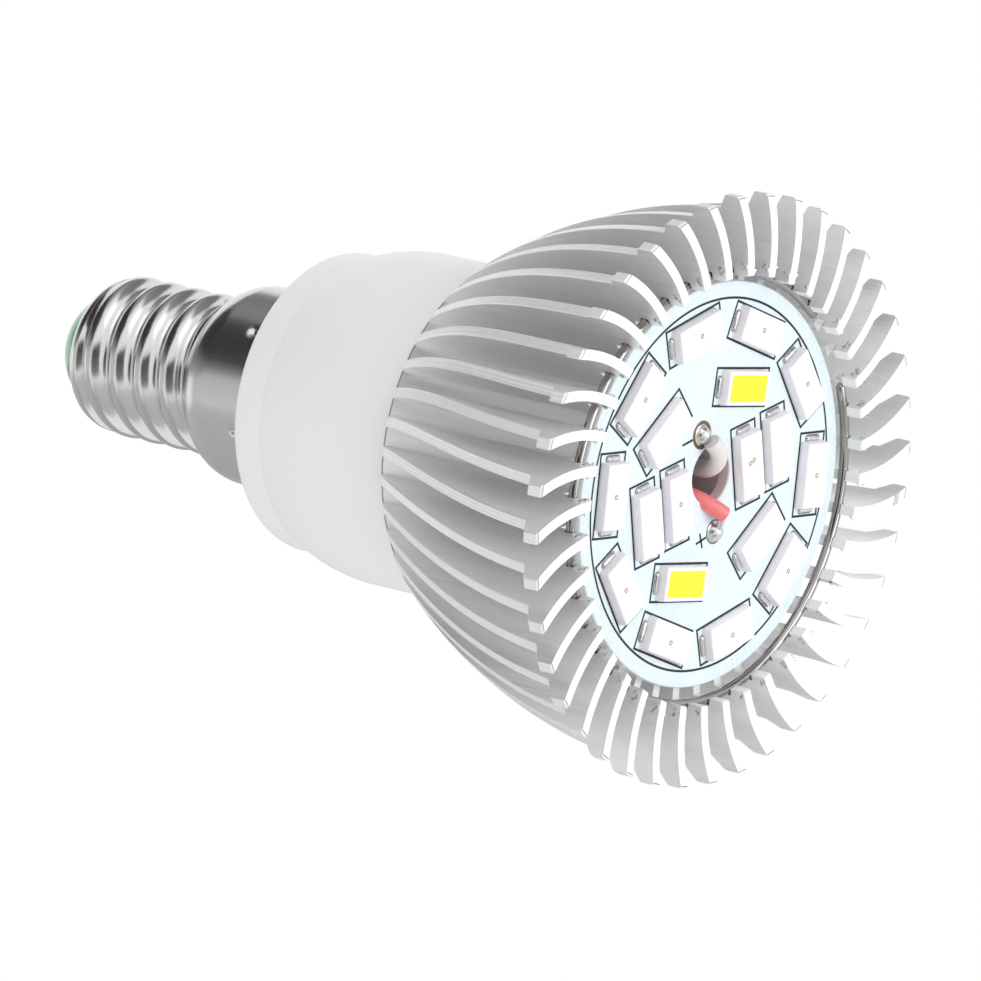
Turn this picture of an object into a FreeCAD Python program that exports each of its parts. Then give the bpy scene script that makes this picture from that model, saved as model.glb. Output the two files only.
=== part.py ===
import FreeCAD, Part

# LED grow light bulb with a small Edison screw cap. Millimetres. The axis is Z: the light end
# is at Z = 0, where the bulb stands on the front rim of its fins, and the screw cap is on top.
import math
import os

V = FreeCAD.Vector
Z_AXIS = V(0, 0, 1)

# Heat sink: a finned extrusion turned to a bell behind a lip
SINK_LIP_R = 25.0
SINK_LIP_H = 1.55
SINK_STEP_DROP = 1.3
SINK_STEP_RISE = 0.8
SINK_BELL_R = 46.0
SINK_BELL_CUTS = 4
SINK_BACK_R = 16.0
SINK_H = 24.5
SINK_CORE_R = 15.4
SINK_BORE_R = 12.6
SINK_DISC_T = 4.2
SINK_HOLE_R = 3.1
FIN_COUNT = 40
FIN_T = 1.0
FIN_CROWN_R = 16.7
FIN_BEND_R = 14.6
FIN_PHASE = 6.2

# Board in the front recess, and the sprung ring inside the ends of the fins round its face
BOARD_R = 17.15
BOARD_T = 1.0
BOARD_DEPTH = 2.1
BOARD_PLAY = 0.95
BOARD_HOLE_R = 2.6
RING_WIRE = 0.8
RING_PLAY = 0.03
RING_GAP = 22.0
RING_GAP_MID = 50.0

# LEDs: a ring of ten, and eight inside it in two halves half a turn apart, each given by its
# setback from the outer ring, its bearing and its own lean
LED_L = 5.6
LED_W = 3.0
LED_H = 0.85
LED_WINDOW_L = 4.6
LED_WINDOW_W = 2.4
LED_WINDOW_DEPTH = 0.1
LED_EDGE = 3.7
LED_RING_COUNT = 10
LED_RING_PHASE = 14.6
LED_INNER_HALF = ((4.9, 16.3, 90.0), (4.7, 68.9, -18.0), (8.7, 69.1, -18.0), (4.85, -59.1, 45.0))
TERMINAL_L = 0.55
TERMINAL_W = 1.8
TERMINAL_H = 0.3
SOLDER_R = 1.0
SOLDER_H = 0.75
SOLDER_X = 4.1
SOLDER_Y = 1.8

# White plastic neck: spigot in the sink, body, shoulder, collar and the boss inside the cap
NECK_R = 14.3
NECK_BODY_L = 10.0
NECK_SHOULDER_L = 5.5
NECK_WALL = 1.6
COLLAR_R = 12.95
COLLAR_L = 3.3
COLLAR_BEVEL = 0.9
SPIGOT_CLEARANCE = 0.3
SPIGOT_L = 6.0
BOSS_L = 6.0
BOSS_WALL = 1.4
RIB_T = 0.8
RIB_GRIP = 1.2
RIB_L = 14.0

# Screw cap drawn from sheet: skirt, flare, the stretch that carries the thread, and the tip
THREAD_R = 6.945
THREAD_L = 11.6
SHEET_T = 0.3
SKIRT_R = 8.65
SKIRT_L = 6.3
FLARE_L = 4.7
TIP_R = 5.1
TIP_L = 2.0
INSULATOR_H = 2.8
INSULATOR_DOME_R = 4.5
INSULATOR_FOOT = 2.0
CONTACT_R = 2.3
CONTACT_H = 0.6
CONTACT_SHANK_R = 0.8
CONTACT_SHANK_L = 2.5

# Driver inside the neck
PCB_L = 26.0
PCB_T = 1.0
PCB_LIFT = 4.2
PCB_EDGE_PLAY = 0.4
SLOT_PLAY = 0.15
SEAT = 0.02
INPUT_CAP = (4.0, 12.0)
OUTPUT_CAP = (3.15, 9.0)
COIL = (3.5, 6.4)
BRIDGE = (4.7, 1.6, 3.9)
CHIP = (4.9, 1.5, 3.9)
FILM_CAP = (7.2, 5.0, 2.6)
FUSE_R = 1.3
FUSE_L = 6.0
LEAD_R = 0.55
LEAD_BEND = 1.1
LEAD_X = 1.3
LEAD_RISE = 1.0
LEAD_LAP = 3.0

# Places worked out from the sizes above
BELL_R0 = SINK_LIP_R - SINK_STEP_DROP
BELL_Z0 = SINK_LIP_H + SINK_STEP_RISE
RECESS_R = BOARD_R + BOARD_PLAY
BOARD_BACK_Z = BOARD_DEPTH + BOARD_T
DISC_BACK_Z = BOARD_BACK_Z + SINK_DISC_T
RING_R = RECESS_R - RING_PLAY - RING_WIRE / 2
RING_Z = BOARD_DEPTH - SEAT - RING_WIRE / 2
LED_RING_R = BOARD_R - LED_EDGE
SPIGOT_R = SINK_BORE_R - SPIGOT_CLEARANCE
SPIGOT_Z = SINK_H - SPIGOT_L
CAVITY_R = SPIGOT_R - NECK_WALL
SHOULDER_Z = SINK_H + NECK_BODY_L
COLLAR_Z = SHOULDER_Z + NECK_SHOULDER_L
NECK_END_Z = COLLAR_Z + COLLAR_L
BOSS_R = SKIRT_R - SHEET_T
BOSS_BORE_R = BOSS_R - BOSS_WALL
FLARE_Z = NECK_END_Z + SKIRT_L
THREAD_Z = FLARE_Z + FLARE_L
TIP_Z = THREAD_Z + THREAD_L
SHELL_END_Z = TIP_Z + TIP_L
CONTACT_Z = SHELL_END_Z + INSULATOR_H
PCB_Z = DISC_BACK_Z + PCB_LIFT
PCB_TOP_Z = PCB_Z + PCB_L
PCB_FRONT = -LEAD_R - SEAT
PCB_BACK = PCB_FRONT - PCB_T
PCB_W = 2 * (math.sqrt(CAVITY_R ** 2 - PCB_BACK ** 2) - PCB_EDGE_PLAY)


def arc_mid(a, b, radius):
    """Middle of the arc of that radius from a to b; a positive radius bulges to the left."""
    dx, dy = b[0] - a[0], b[1] - a[1]
    chord = math.hypot(dx, dy)
    rise = abs(radius) - math.sqrt(max(radius * radius - chord * chord / 4, 0.0))
    side = math.copysign(rise / chord, radius)
    return ((a[0] + b[0]) / 2 - dy * side, (a[1] + b[1]) / 2 + dx * side)


def outline(points, place):
    """Closed wire through the points; an entry (x, y, radius) is reached by an arc."""
    edges = []
    for here, after in zip(points, points[1:] + points[:1]):
        a, b = place(*here[:2]), place(*after[:2])
        if len(after) == 3:
            edges.append(Part.Arc(a, place(*arc_mid(here, after, after[2])), b).toShape())
        else:
            edges.append(Part.LineSegment(a, b).toShape())
    return Part.Wire(edges)


def turned(points):
    """Solid of revolution about Z of an (r, z) outline."""
    face = Part.Face(outline(points, lambda r, z: V(r, 0, z)))
    return face.revolve(V(0, 0, 0), Z_AXIS, 360)


def extruded(points, z0, z1):
    """Prism of an (x, y) outline between two heights."""
    return Part.Face(outline(points, lambda x, y: V(x, y, z0))).extrude(V(0, 0, z1 - z0))


def block(size, centre):
    """Box of the given size about its centre."""
    return Part.makeBox(*size, V(*[c - s / 2 for c, s in zip(centre, size)]))


def turn(shape, degrees):
    """Copy of the shape turned about the axis of the bulb."""
    copy = shape.copy()
    copy.rotate(V(0, 0, 0), Z_AXIS, degrees)
    return copy


def bell():
    """Points along the arc from the lip to the back edge, where the lathe's cuts meet."""
    a, b = (BELL_R0, BELL_Z0), (SINK_BACK_R, SINK_H)
    mid = arc_mid(a, b, -SINK_BELL_R)
    arc = Part.Arc(*[V(r, 0, z) for r, z in (a, mid, b)])
    return [(p.x, p.z) for p in arc.discretize(SINK_BELL_CUTS + 1)]


def sink_blank():
    """Heat sink as turned, before the gaps between its fins are taken out."""
    return turned([
        (SINK_HOLE_R, BOARD_BACK_Z), (RECESS_R, BOARD_BACK_Z), (RECESS_R, 0),
        (SINK_LIP_R, 0), (SINK_LIP_R, SINK_LIP_H), *bell(), (SINK_BORE_R, SINK_H),
        (SINK_BORE_R, DISC_BACK_Z), (SINK_HOLE_R, DISC_BACK_Z)])


def flank(side, radius):
    """Where a flank of the fin on the X axis crosses a circle about the bulb, and its radius.

    The flank is an arc about a point beside the fin's crown, where the fin runs radially.
    """
    bend = FIN_BEND_R + side * FIN_T / 2
    reach = math.hypot(FIN_CROWN_R, FIN_BEND_R)
    along = (radius ** 2 - bend ** 2 + reach ** 2) / (2 * reach)
    across = math.sqrt(radius ** 2 - along ** 2)
    cx, cy = FIN_CROWN_R / reach, -FIN_BEND_R / reach
    return (along * cx - across * cy, along * cy + across * cx), bend


def fin_gap():
    """Space between two neighbouring fins, as the extrusion die leaves it."""
    step = math.radians(360 / FIN_COUNT)

    def ahead(p):
        return (p[0] * math.cos(step) - p[1] * math.sin(step),
                p[0] * math.sin(step) + p[1] * math.cos(step))

    outside = SINK_LIP_R + FIN_T
    (foot, bend), (tip, _) = flank(1, SINK_CORE_R), flank(1, outside)
    (next_foot, next_bend), (next_tip, _) = flank(-1, SINK_CORE_R), flank(-1, outside)
    return extruded([(*foot, SINK_CORE_R), (*tip, bend), ahead(next_tip),
                     (*ahead(next_foot), -next_bend)], -FIN_T, SINK_H + FIN_T)


def heat_sink():
    """Curved-fin sink: the turned blank with the gaps between its fins open."""
    gap = turn(fin_gap(), FIN_PHASE)
    gaps = [turn(gap, 360 / FIN_COUNT * i) for i in range(FIN_COUNT)]
    return sink_blank().cut(Part.makeCompound(gaps))


def snap_ring():
    """Open spring ring, tight inside the ends of the fins."""
    w = RING_WIRE / 2
    corners = [(RING_R - w, RING_Z - w), (RING_R + w, RING_Z - w),
               (RING_R + w, RING_Z + w), (RING_R - w, RING_Z + w)]
    section = Part.Face(outline(corners, lambda r, z: V(r, 0, z)))
    start = turn(section, RING_GAP_MID + RING_GAP / 2)
    return start.revolve(V(0, 0, 0), Z_AXIS, 360 - RING_GAP)


def led_board():
    """Round aluminium-core board."""
    disc = Part.makeCylinder(BOARD_R, BOARD_T, V(0, 0, BOARD_DEPTH))
    return disc.cut(Part.makeCylinder(BOARD_HOLE_R, BOARD_T, V(0, 0, BOARD_DEPTH)))


def led_places():
    """(radius, bearing, lean) of every LED: the outer ring, then the two inner halves."""
    places = []
    for i in range(LED_RING_COUNT):
        bearing = LED_RING_PHASE + 360 / LED_RING_COUNT * i
        places.append((LED_RING_R, bearing, bearing + 90))
    for setback, bearing, lean in LED_INNER_HALF:
        for half in (0, 180):
            places.append((LED_RING_R - setback, bearing + half, lean + half))
    return places


def on_board(shape, place):
    """Copy of a shape drawn at the origin, set on the board at an LED's place."""
    radius, bearing, lean = place
    a = math.radians(bearing)
    copy = turn(shape, lean)
    copy.translate(V(radius * math.cos(a), radius * math.sin(a), BOARD_DEPTH))
    return copy


def led_package():
    """Moulded LED body, its light window sunk into the face that looks down."""
    body = block((LED_L, LED_W, LED_H), (0, 0, -LED_H / 2))
    window = block((LED_WINDOW_L, LED_WINDOW_W, 2 * LED_WINDOW_DEPTH), (0, 0, -LED_H))
    return body.cut(window)


def led_terminals():
    """Solder fillets at both ends of every LED, as one group of separate solids."""
    x0, y0 = LED_L / 2 + SEAT, -TERMINAL_W / 2
    side = Part.makePolygon([V(x0, y0, 0), V(x0 + TERMINAL_L, y0, 0), V(x0, y0, -TERMINAL_H),
                             V(x0, y0, 0)])
    fillet = Part.Face(side).extrude(V(0, TERMINAL_W, 0))
    return Part.makeCompound([on_board(turn(fillet, end), place)
                              for place in led_places() for end in (0, 180)])


def solder_joint(side):
    """Solder joint on the board, on the side of X that the sign gives."""
    place = V(side * SOLDER_X, -side * SOLDER_Y, BOARD_DEPTH)
    return Part.makeCone(SOLDER_R, SOLDER_R / 2, SOLDER_H, place, -Z_AXIS)


def bent_lead(route):
    """Round lead along straight runs joined by tangent arcs."""
    points = [V(*p) for p in route]
    edges, here = [], points[0]
    for before, corner, after in zip(points, points[1:], points[2:]):
        u, w = (before - corner).normalize(), (after - corner).normalize()
        half = u.getAngle(w) / 2
        room = 0.45 * min(before.distanceToPoint(corner), after.distanceToPoint(corner))
        cut = min(LEAD_BEND / math.tan(half), room)
        centre = corner + (u + w).normalize() * (cut / math.cos(half))
        mid = centre + (corner - centre).normalize() * (cut * math.tan(half))
        a, b = corner + u * cut, corner + w * cut
        edges += [Part.LineSegment(here, a).toShape(), Part.Arc(a, mid, b).toShape()]
        here = b
    edges.append(Part.LineSegment(here, points[-1]).toShape())
    section = Part.Wire(Part.makeCircle(LEAD_R, points[0], points[1] - points[0]))
    return Part.Wire(edges).makePipeShell([section], True, False)


def board_lead(side):
    """Lead from the driver through the centre hole, bent over to one joint of the board."""
    top = BOARD_DEPTH - LEAD_RISE
    x, y = side * SOLDER_X, -side * SOLDER_Y
    lead = bent_lead([(side * LEAD_X, 0, PCB_Z + LEAD_LAP), (side * LEAD_X, 0, top), (x, y, top)])
    return lead.cut(solder_joint(side))


def neck_housing():
    """Moulded neck, hollow, with ribs that guide the edges of the driver board."""
    roof = NECK_END_Z - NECK_WALL
    shell = turned([
        (CAVITY_R, SPIGOT_Z), (SPIGOT_R, SPIGOT_Z), (SPIGOT_R, SINK_H), (NECK_R, SINK_H),
        (NECK_R, SHOULDER_Z), (COLLAR_R, COLLAR_Z), (COLLAR_R, NECK_END_Z - COLLAR_BEVEL),
        (COLLAR_R - COLLAR_BEVEL, NECK_END_Z), (BOSS_R, NECK_END_Z),
        (BOSS_R, NECK_END_Z + BOSS_L), (BOSS_BORE_R, NECK_END_Z + BOSS_L), (BOSS_BORE_R, roof),
        (CAVITY_R, roof)])
    inner, outer = PCB_W / 2 - RIB_GRIP, CAVITY_R + NECK_WALL / 4
    offset = PCB_T / 2 + SLOT_PLAY + RIB_T / 2
    middle = (PCB_FRONT + PCB_BACK) / 2
    ribs = [block((outer - inner, RIB_T, RIB_L),
                  (x * (inner + outer) / 2, middle + y * offset, SPIGOT_Z + RIB_L / 2))
            for x in (1, -1) for y in (1, -1)]
    return shell.fuse(ribs).removeSplitter()


def screw_shell():
    """Nickel-plated shell: skirt over the boss, flare, thread stretch at full size and tip."""
    end_r, inner_r = TIP_R - SHEET_T, THREAD_R - SHEET_T
    return turned([
        (BOSS_R, NECK_END_Z), (SKIRT_R, NECK_END_Z), (SKIRT_R, FLARE_Z), (THREAD_R, THREAD_Z),
        (THREAD_R, TIP_Z), (TIP_R, SHELL_END_Z), (end_r, SHELL_END_Z), (end_r, TIP_Z),
        (inner_r, TIP_Z), (inner_r, FLARE_Z), (BOSS_R, FLARE_Z)])


def cap_insulator():
    """Green insulator that closes the end of the shell with a dome."""
    end_r = TIP_R - SHEET_T - SEAT
    return turned([
        (CONTACT_SHANK_R, SHELL_END_Z - INSULATOR_FOOT), (end_r, SHELL_END_Z - INSULATOR_FOOT),
        (end_r, SHELL_END_Z), (CONTACT_R, CONTACT_Z, -INSULATOR_DOME_R),
        (CONTACT_SHANK_R, CONTACT_Z)])


def centre_contact():
    """Riveted contact button on the tip."""
    shank_z = CONTACT_Z - INSULATOR_H - CONTACT_SHANK_L
    return turned([
        (0, shank_z), (CONTACT_SHANK_R, shank_z), (CONTACT_SHANK_R, CONTACT_Z),
        (CONTACT_R, CONTACT_Z), (CONTACT_R, CONTACT_Z + CONTACT_H),
        (0, CONTACT_Z + CONTACT_H)])


def driver_board():
    """Driver board, upright in the guide ribs of the neck."""
    return block((PCB_W, PCB_T, PCB_L), (0, (PCB_FRONT + PCB_BACK) / 2, PCB_Z + PCB_L / 2))


def can(size, x, z):
    """Electrolytic capacitor upright on the front of the driver board."""
    radius, length = size
    return Part.makeCylinder(radius, length, V(x, PCB_FRONT + SEAT + radius, z))


def inductor():
    """Drum inductor standing out from the front of the board."""
    radius, height = COIL
    place = V(PCB_W / 4, PCB_FRONT + SEAT, PCB_Z + PCB_L * 0.65)
    return Part.makeCylinder(radius, height, place, V(0, 1, 0))


def moulded_part(size, x, z):
    """Moulded component flat on the back of the driver board."""
    return block(size, (x, PCB_BACK - SEAT - size[1] / 2, z))


def fuse_resistor():
    """Fusible resistor upright on the back of the board."""
    place = V(PCB_W / 4, PCB_BACK - SEAT - FUSE_R, PCB_Z + PCB_L * 0.65)
    return Part.makeCylinder(FUSE_R, FUSE_L, place)


def straight_lead(x, top_z):
    """Straight lead up from the top of the driver board."""
    z = PCB_TOP_Z - LEAD_LAP
    return Part.makeCylinder(LEAD_R, top_z - z, V(x, 0, z))


def parts():
    """Every node by name."""
    wall = THREAD_R - SHEET_T - SEAT - LEAD_R
    nodes = {
        "heat_sink": heat_sink(), "snap_ring": snap_ring(), "led_board": led_board(),
        "led_terminals": led_terminals(),
        "plus_solder": solder_joint(-1), "minus_solder": solder_joint(1),
        "red_lead": board_lead(-1), "white_lead": board_lead(1),
        "neck_housing": neck_housing(), "screw_shell": screw_shell(),
        "cap_insulator": cap_insulator(), "centre_contact": centre_contact(),
        "driver_board": driver_board(),
        "input_capacitor": can(INPUT_CAP, -PCB_W * 0.22, PCB_Z + PCB_L * 0.4),
        "output_capacitor": can(OUTPUT_CAP, PCB_W / 4, PCB_Z + PCB_L * 0.05),
        "inductor": inductor(),
        "bridge_rectifier": moulded_part(BRIDGE, -PCB_W * 0.22, PCB_Z + PCB_L * 0.8),
        "driver_chip": moulded_part(CHIP, 0, PCB_Z + PCB_L * 0.5),
        "film_capacitor": moulded_part(FILM_CAP, -PCB_W * 0.22, PCB_Z + PCB_L * 0.22),
        "fuse_resistor": fuse_resistor(),
        "live_lead": straight_lead(0, CONTACT_Z - INSULATOR_H - CONTACT_SHANK_L - SEAT),
        "neutral_lead": straight_lead(wall, THREAD_Z + LEAD_LAP),
    }
    package = led_package()
    for i, place in enumerate(led_places(), 1):
        nodes[f"led_{i:02d}"] = on_board(package, place)
    return nodes


os.makedirs("parts", exist_ok=True)
for name, shape in parts().items():
    shape.exportStep(f"parts/{name}.step")
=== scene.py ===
"""Looks of the LED grow light bulb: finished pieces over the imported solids, lights and camera."""
import logging
import math
from dataclasses import dataclass, field
from enum import Enum
from functools import cache
from typing import Sequence

import bpy
from mathutils import Euler, Matrix, Vector


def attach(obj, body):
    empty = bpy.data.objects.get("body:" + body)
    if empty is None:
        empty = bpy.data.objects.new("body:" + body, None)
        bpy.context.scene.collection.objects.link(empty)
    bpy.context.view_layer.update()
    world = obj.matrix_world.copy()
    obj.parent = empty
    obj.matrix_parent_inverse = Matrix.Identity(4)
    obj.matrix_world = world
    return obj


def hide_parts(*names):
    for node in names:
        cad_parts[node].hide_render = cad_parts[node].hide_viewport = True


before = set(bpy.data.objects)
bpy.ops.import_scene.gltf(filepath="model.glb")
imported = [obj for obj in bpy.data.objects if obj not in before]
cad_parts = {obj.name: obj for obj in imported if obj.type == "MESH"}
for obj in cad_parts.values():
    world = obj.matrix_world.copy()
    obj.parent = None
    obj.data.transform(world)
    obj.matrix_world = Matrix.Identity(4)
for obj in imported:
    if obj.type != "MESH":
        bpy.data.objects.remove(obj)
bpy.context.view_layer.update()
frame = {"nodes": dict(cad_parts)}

MM = 0.001
BODY = "root"
Pair = tuple[float, float]
Pairs = tuple[Pair, ...]
Triple = tuple[float, float, float]
Colour = Triple
Point = Triple
Ring = list[Point]
Profile = list[Pair]
Socket = bpy.types.NodeSocket

log = logging.getLogger("grow_light_bulb")


class Grain(Enum):
    """Direction in which a finish carries its fine marks."""

    MOULDED = "even in every direction"
    DRAWN = "lines along the axis, as the extrusion die leaves them"
    TURNED = "rings about the axis, as the lathe leaves them"


def even(value: float) -> Triple:
    """The same value three times, for a grey or for a mark as long as it is wide."""
    return (value, value, value)


def scatter(seed: float) -> float:
    """A number from 0 to 1 that varies from place to place and is the same each run."""
    return abs(math.sin(seed))


class Nodes:
    """Short calls for the nodes of a material or of the surroundings.

    Marks round the axis have their full length at the radius turned_r, in millimetres.
    """

    turned_r: float = 20.0

    def __init__(self, tree: bpy.types.NodeTree) -> None:
        """Work on that tree."""
        self.tree = tree

    def add(self, kind: str, inputs: dict | None = None, **settings: object) -> bpy.types.Node:
        """Add a node.

        Args:
            kind: Node type without its ShaderNode prefix.
            inputs: Value or socket for each named or numbered input.
            settings: Properties of the node.

        Returns:
            The new node.
        """
        node = self.tree.nodes.new("ShaderNode" + kind)
        for key, value in settings.items():
            setattr(node, key, value)
        for key, value in (inputs or {}).items():
            self.feed(node, key, value)
        return node

    def feed(self, node: bpy.types.Node, key: str | int, value: object) -> None:
        """Give a node's input its value.

        Args:
            node: Node that takes the value.
            key: Name or number of its input.
            value: Socket to link, or the input's own value.
        """
        if isinstance(value, Socket):
            self.tree.links.new(value, node.inputs[key])
        else:
            node.inputs[key].default_value = value

    def maths(self, operation: str, a: object, b: object = 0.0) -> Socket:
        """Value of a Math node on two values or sockets."""
        return self.add("Math", {0: a, 1: b}, operation=operation).outputs[0]

    def millimetres(self, grain: Grain, size: Triple) -> Socket:
        """Coordinates on the object, divided by the size of a mark.

        Args:
            grain: Direction of the marks.
            size: Size of a mark in millimetres along x, y and z, or for turned marks along the
                radius, round the axis and along z.

        Returns:
            The vector socket.
        """
        place = self.add("TexCoord").outputs["Object"]
        if grain is Grain.TURNED:
            axes = self.add("SeparateXYZ", {0: place}).outputs
            flat = self.add("CombineXYZ", {0: axes[0], 1: axes[1]}).outputs[0]
            radius = self.add("VectorMath", {0: flat}, operation="LENGTH").outputs["Value"]
            angle = self.maths("ARCTAN2", axes[1], axes[0])
            around = self.maths("MULTIPLY", angle, self.turned_r * MM)
            place = self.add("CombineXYZ", {0: radius, 1: around, 2: axes[2]}).outputs[0]
        scale = [1 / (MM * s) for s in size]
        return self.add("Mapping", {"Vector": place, "Scale": scale}).outputs[0]

    def noise(self, place: Socket, detail: float = 3.0) -> Socket:
        """Noise between 0 and 1 at the given coordinates."""
        return self.add("TexNoise", {"Vector": place, "Scale": 1.0, "Detail": detail}).outputs["Fac"]

    def spread(self, value: Socket, low: object, high: object, span: Pair = (0.3, 0.7)) -> Socket:
        """Colour or number that goes from low to high as the value goes through the span.

        Args:
            value: Socket that drives the change.
            low: Colour or number at the start of the span.
            high: Colour or number at its end.
            span: Values of the driver between which the change happens.

        Returns:
            The colour or value socket.
        """
        if isinstance(low, tuple):
            ramp = self.add("ValToRGB", {0: value})
            for stop, place, colour in zip(ramp.color_ramp.elements, span, (low, high)):
                stop.position = place
                stop.color = (*colour, 1)
            return ramp.outputs["Color"]
        limits = {"From Min": span[0], "From Max": span[1], "To Min": low, "To Max": high}
        return self.add("MapRange", {"Value": value, **limits}).outputs["Result"]


class NodeSheet(Nodes):
    """A new material with its shader."""

    def __init__(self, name: str) -> None:
        """Start a material.

        Args:
            name: Name of the material.
        """
        self.material = bpy.data.materials.new(name)
        self.material.use_nodes = True
        super().__init__(self.material.node_tree)
        self.shader = self.tree.nodes["Principled BSDF"]
        self.output = self.tree.nodes["Material Output"]

    def shade(self, **values: object) -> None:
        """Set the shader's inputs, named with underscores for spaces."""
        for key, value in values.items():
            self.feed(self.shader, key.replace("_", " "), value)

    def bump(self, height: Socket, depth_mm: float) -> None:
        """Fine relief from a height between 0 and 1 that stands for a depth in millimetres."""
        relief = {"Height": height, "Strength": 1.0, "Distance": depth_mm * MM}
        self.shade(Normal=self.add("Bump", relief).outputs[0])


@dataclass(frozen=True)
class Finish:
    """A finish with its colour, gloss and fine marks; sizes in millimetres."""

    name: str
    colour: Colour
    shade: Colour
    gloss: Pair
    mark: Triple
    cloud: Triple
    relief: float
    metallic: float = 0.0
    grain: Grain = Grain.MOULDED
    coat: float = 0.0
    subsurface: float = 0.0

    def build(self) -> bpy.types.Material:
        """Make the material.

        Returns:
            The material, with colour, roughness and relief from its nodes.
        """
        sheet = NodeSheet(self.name)
        marks = sheet.noise(sheet.millimetres(self.grain, self.mark), detail=4.0)
        clouds = sheet.noise(sheet.millimetres(self.grain, self.cloud))
        both = sheet.maths("MULTIPLY", sheet.maths("ADD", marks, clouds), 0.5)
        sheet.shade(Base_Color=sheet.spread(both, self.shade, self.colour),
                    Roughness=sheet.spread(marks, *self.gloss), Metallic=self.metallic)
        sheet.bump(marks, self.relief)
        if self.coat:
            sheet.shade(Coat_Weight=self.coat, Coat_Roughness=0.08)
        if self.subsurface:
            sheet.shade(Subsurface_Weight=self.subsurface, Subsurface_Scale=MM,
                        Subsurface_Radius=(1.0, 0.9, 0.8))
        return sheet.material


class Finishes:
    """Every finish of the bulb, each made once when first asked for."""

    book: dict[str, Finish] = {f.name: f for f in (
        Finish("drawn_aluminium", even(1.0), (0.88, 0.88, 0.885), (0.34, 0.44),
               (0.22, 0.22, 18.0), (1.6, 1.6, 40.0), 0.018, 0.65, Grain.DRAWN),
        # Painted shade: the dark grey band at the back end of each channel, where shadow falls between
        # the sink and the neck.
        Finish("painted_shade_band", even(0.42), even(0.32), (0.4, 0.6), even(0.3), even(1.0), 0.01, 0.5),
        Finish("turned_aluminium", even(0.96), even(0.88), (0.30, 0.42),
               (0.12, 30.0, 0.12), (1.0, 30.0, 1.0), 0.006, 0.35, Grain.TURNED),
        # Painted glare: the fins' machined flat faces are a plain white, not metal, so they read as
        # bright as faces in full glare.
        Finish("glare_faced_aluminium", even(1.0), even(0.97), (0.35, 0.45), even(0.4), even(2.0), 0.0008),
        Finish("hole_wall", (0.80, 0.67, 0.69), (0.68, 0.56, 0.58), (0.3, 0.45),
               (0.3, 2.0, 0.15), (1.0, 4.0, 1.0), 0.01, 0.1, Grain.TURNED),
        Finish("burred_edge", even(0.98), even(0.95), (0.30, 0.42), even(0.2), even(1.0), 0.01, 0.6),
        Finish("spring_wire", (0.40, 0.39, 0.38), (0.32, 0.31, 0.30), (0.08, 0.14),
               (0.2, 4.0, 0.2), (0.5, 9.0, 0.5), 0.004, 1.0, Grain.TURNED),
        Finish("solder_mask", (0.80, 0.90, 0.95), (0.74, 0.86, 0.93), (0.22, 0.34),
               even(0.5), even(7.0), 0.004, coat=0.3),
        Finish("print_ink", (0.006, 0.006, 0.007), even(0.015), (0.5, 0.7),
               even(0.2), even(2.0), 0.003),
        # Painted shade: the LED's side walls take a copy of the package white made a little darker.
        Finish("package_side_shaded", (0.93, 0.90, 0.93), (0.86, 0.83, 0.87), (0.32, 0.48),
               even(0.3), even(1.5), 0.005),
        Finish("package_white", (0.96, 0.93, 0.94), (0.92, 0.88, 0.90), (0.32, 0.48),
               even(0.3), even(1.5), 0.005, subsurface=0.15),
        Finish("clear_fill", (0.97, 0.94, 0.95), (0.95, 0.91, 0.93), (0.10, 0.20),
               even(1.2), even(2.0), 0.003, coat=0.3, subsurface=0.2),
        Finish("phosphor_fill", (0.97, 0.93, 0.01), (0.95, 0.90, 0.01), (0.25, 0.4),
               even(0.15), even(1.0), 0.006, coat=0.2, subsurface=0.1),
        Finish("chip_red", (0.50, 0.26, 0.24), (0.42, 0.20, 0.19), (0.2, 0.35),
               even(0.1), even(0.3), 0.004),
        Finish("pad_rim", (0.16, 0.17, 0.18), (0.09, 0.10, 0.10), (0.3, 0.5),
               even(0.2), even(0.8), 0.004),
        Finish("tin", (0.80, 0.79, 0.77), (0.62, 0.61, 0.60), (0.10, 0.30),
               even(0.35), even(0.9), 0.03, 1.0),
        Finish("flux", (0.20, 0.10, 0.03), (0.08, 0.04, 0.015), (0.12, 0.3),
               even(0.3), even(0.7), 0.02, coat=0.5),
        Finish("lead_red", (0.88, 0.22, 0.22), (0.80, 0.17, 0.17), (0.30, 0.42),
               even(0.3), even(1.2), 0.008, coat=0.1),
        Finish("lead_white", (0.80, 0.77, 0.75), (0.70, 0.66, 0.65), (0.30, 0.42),
               even(0.3), even(1.2), 0.008, coat=0.1),
        Finish("neck_plastic", (0.90, 0.90, 0.895), (0.89, 0.89, 0.885), (0.42, 0.48),
               even(0.4), even(9.0), 0.001, subsurface=0.1),
        Finish("nickel", (0.76, 0.75, 0.745), (0.71, 0.70, 0.695), (0.18, 0.25),
               even(0.14), even(2.0), 0.0014, 1.0),
        Finish("insulator_green", (0.20, 0.46, 0.27), (0.16, 0.40, 0.23), (0.10, 0.18),
               even(0.8), even(2.0), 0.004, coat=0.4, subsurface=0.4),
        Finish("driver_laminate", (0.08, 0.30, 0.14), (0.05, 0.22, 0.10), (0.35, 0.5),
               even(0.25), even(3.0), 0.01, coat=0.2),
        Finish("sleeve_black", (0.03, 0.03, 0.035), even(0.02), (0.2, 0.3),
               even(0.4), even(3.0), 0.006, coat=0.3),
        Finish("moulded_dark", even(0.05), even(0.03), (0.45, 0.65), even(0.12), even(1.0), 0.01),
        Finish("dipped_yellow", (0.72, 0.50, 0.08), (0.60, 0.40, 0.05), (0.25, 0.4),
               even(0.5), even(2.0), 0.01, coat=0.2),
    )}

    @classmethod
    @cache
    def get(cls, name: str) -> bpy.types.Material:
        """Material of a finish, made when first asked for."""
        return cls.book[name].build()


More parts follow.
